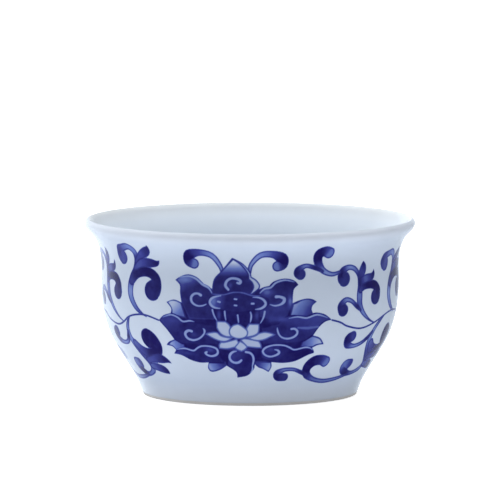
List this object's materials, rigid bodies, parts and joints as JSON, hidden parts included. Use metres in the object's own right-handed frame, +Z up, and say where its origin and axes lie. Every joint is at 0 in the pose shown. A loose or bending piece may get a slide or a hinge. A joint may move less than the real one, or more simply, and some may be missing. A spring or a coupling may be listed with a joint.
{
  "type": "teacup",
  "caption": "Small handleless porcelain teacup with a flared lip, a turned foot ring and blue lotus and vine scrolls fired into its outside.",
  "frame": {"origin": "centre of the foot ring, on the plane it stands on", "axes": "+Z up along the cup's axis, the middle of the front lotus faces -Y"},
  "size_m": [0.066, 0.066, 0.0352],
  "materials": {
    "bare_porcelain": "matte unglazed biscuit",
    "glaze": "glossy clear glaze with a faint blue tint",
    "cobalt_blue": "glossy, cobalt blue under a skin of glaze"
  },
  "bodies": {
    "root": {"porcelain_body": "bare_porcelain", "outer_glaze": "glaze", "inner_glaze": "glaze", "base_glaze": "glaze", "lotus_front": "cobalt_blue", "lotus_rear_right": "cobalt_blue", "lotus_rear_left": "cobalt_blue", "vine_front_right": "cobalt_blue", "vine_rear": "cobalt_blue", "vine_front_left": "cobalt_blue"}
  },
  "joints": []
}
